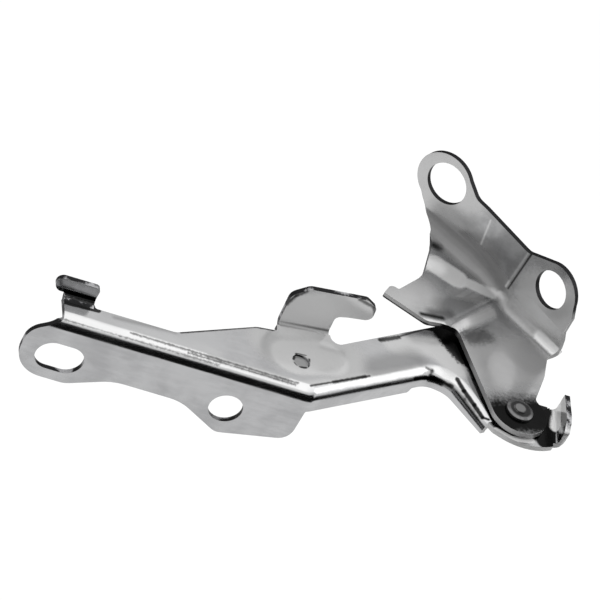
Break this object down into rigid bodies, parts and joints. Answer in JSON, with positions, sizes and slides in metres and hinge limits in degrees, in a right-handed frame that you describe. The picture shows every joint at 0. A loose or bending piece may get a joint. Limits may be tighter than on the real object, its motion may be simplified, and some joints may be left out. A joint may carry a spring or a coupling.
{
  "type": "hood hinge",
  "caption": "Folded steel hood hinge: a slotted bolt bracket with a gooseneck arm, and a two-eared hood bracket riveted to it at one pivot.",
  "frame": {"origin": "centre of the round bolt hole on the face of the body bracket that bolts down", "axes": "+X along the bolt plate towards the pivot, +Y away from the bolted-down face, +Z along the pivot towards the rivet's formed head"},
  "size_m": [0.2027, 0.1092, 0.0665],
  "materials": {
    "body_plating": "bright zinc plate",
    "hood_plating": "bright zinc plate",
    "rivet_steel": "darker plated steel",
    "bush_bronze": "sintered bronze",
    "washer_steel": "plain steel"
  },
  "bodies": {
    "body_side": {"body_bracket": "body_plating", "pivot_rivet": "rivet_steel", "thrust_washer": "washer_steel"},
    "hood_side": {"hood_bracket": "hood_plating", "pivot_bush": "bush_bronze"}
  },
  "joints": [
    {"name": "hood_swing", "type": "hinge", "parent": "body_side", "child": "hood_side", "pos_m": [0.105, 0.019, 0.0198], "axis": [0, 0, 1], "range_deg": [-24, 43.8]}
  ]
}
